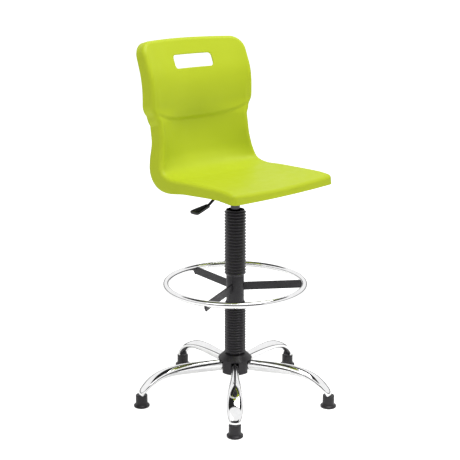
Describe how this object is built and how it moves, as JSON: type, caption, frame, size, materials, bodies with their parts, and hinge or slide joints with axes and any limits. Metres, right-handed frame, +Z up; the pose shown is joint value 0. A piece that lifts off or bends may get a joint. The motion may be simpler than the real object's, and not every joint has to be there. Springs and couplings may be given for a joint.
{
  "type": "drafting chair",
  "caption": "Drafting chair: one-piece moulded seat and back with handle slot, gas lift column in ribbed bellows, chromed foot ring on flat spokes, and arched chromed legs on fixed glides",
  "frame": {"origin": "on the floor, on the axis of the column, at the centre of the circle of glides", "axes": "+Z up along the column; the chair faces -Y, so the sitter's right is -X; the lever is on the sitter's right"},
  "size_m": [0.5956, 0.5956, 1.0666],
  "materials": {
    "shell": "satin moulded polypropylene, fine grain",
    "black_plastic": "satin moulded black plastic",
    "gloss_black": "glossy black moulded grip",
    "bellows": "flexible black ribbed moulding",
    "black_steel": "black powder coat",
    "chrome": "bright chrome plate",
    "gas_steel": "dark ground and plated tube",
    "steel": "zinc plated steel",
    "brass": "machined brass"
  },
  "bodies": {
    "base": {"column_tube": "black_steel", "guide_bush": "black_plastic", "lower_race": "steel", "bearing_balls": "steel", "upper_bellows": "bellows", "lower_bellows": "bellows", "ring_hub": "black_steel", "ring_collar": "black_plastic", "collar_screws": "steel", "spoke_1": "black_steel", "spoke_2": "black_steel", "spoke_3": "black_steel", "foot_ring": "chrome", "ring_screws": "black_steel", "base_hub": "black_steel", "hub_cover": "black_plastic", "leg_1": "chrome", "leg_2": "chrome", "leg_3": "chrome", "leg_4": "chrome", "leg_5": "chrome", "glide_1": "black_plastic", "glide_2": "black_plastic", "glide_3": "black_plastic", "glide_4": "black_plastic", "glide_5": "black_plastic", "glide_stems": "steel"},
    "spindle": {"piston_rod": "steel", "piston": "steel", "rod_clip": "steel", "upper_race": "steel", "end_buffer": "black_plastic"},
    "seat": {"seat_shell": "shell", "shell_inserts": "brass", "mounting_plate": "black_steel", "seat_screws": "steel", "mechanism_housing": "black_steel", "taper_socket": "black_steel", "lever_pivot_pin": "steel", "gas_tube": "gas_steel", "rod_seal": "black_plastic"},
    "lever": {"release_lever": "black_steel", "lever_paddle": "gloss_black"},
    "button": {"release_button": "steel"}
  },
  "joints": [
    {"name": "seat_swivel", "type": "hinge", "parent": "base", "child": "spindle", "pos_m": [0, 0, 0.085], "axis": [0, 0, 1], "continuous": true},
    {"name": "seat_height", "type": "slide", "parent": "spindle", "child": "seat", "axis": [0, 0, 1], "range_m": [-0.14, 0], "deforming": ["upper_bellows"]},
    {"name": "lever_tilt", "type": "hinge", "parent": "seat", "child": "lever", "pos_m": [-0.03, 0, 0.634], "axis": [0, 1, 0], "range_deg": [0, 5], "stiffness_Nm_per_rad": 2, "springref_deg": -5.73},
    {"name": "button_press", "type": "slide", "parent": "seat", "child": "button", "axis": [0, 0, -1], "range_m": [0, 0.0027], "stiffness_N_per_m": 1000}
  ],
  "couplings": [
    {"joint": "button_press", "follows": "lever_tilt", "m_per_rad": 0.03}
  ]
}
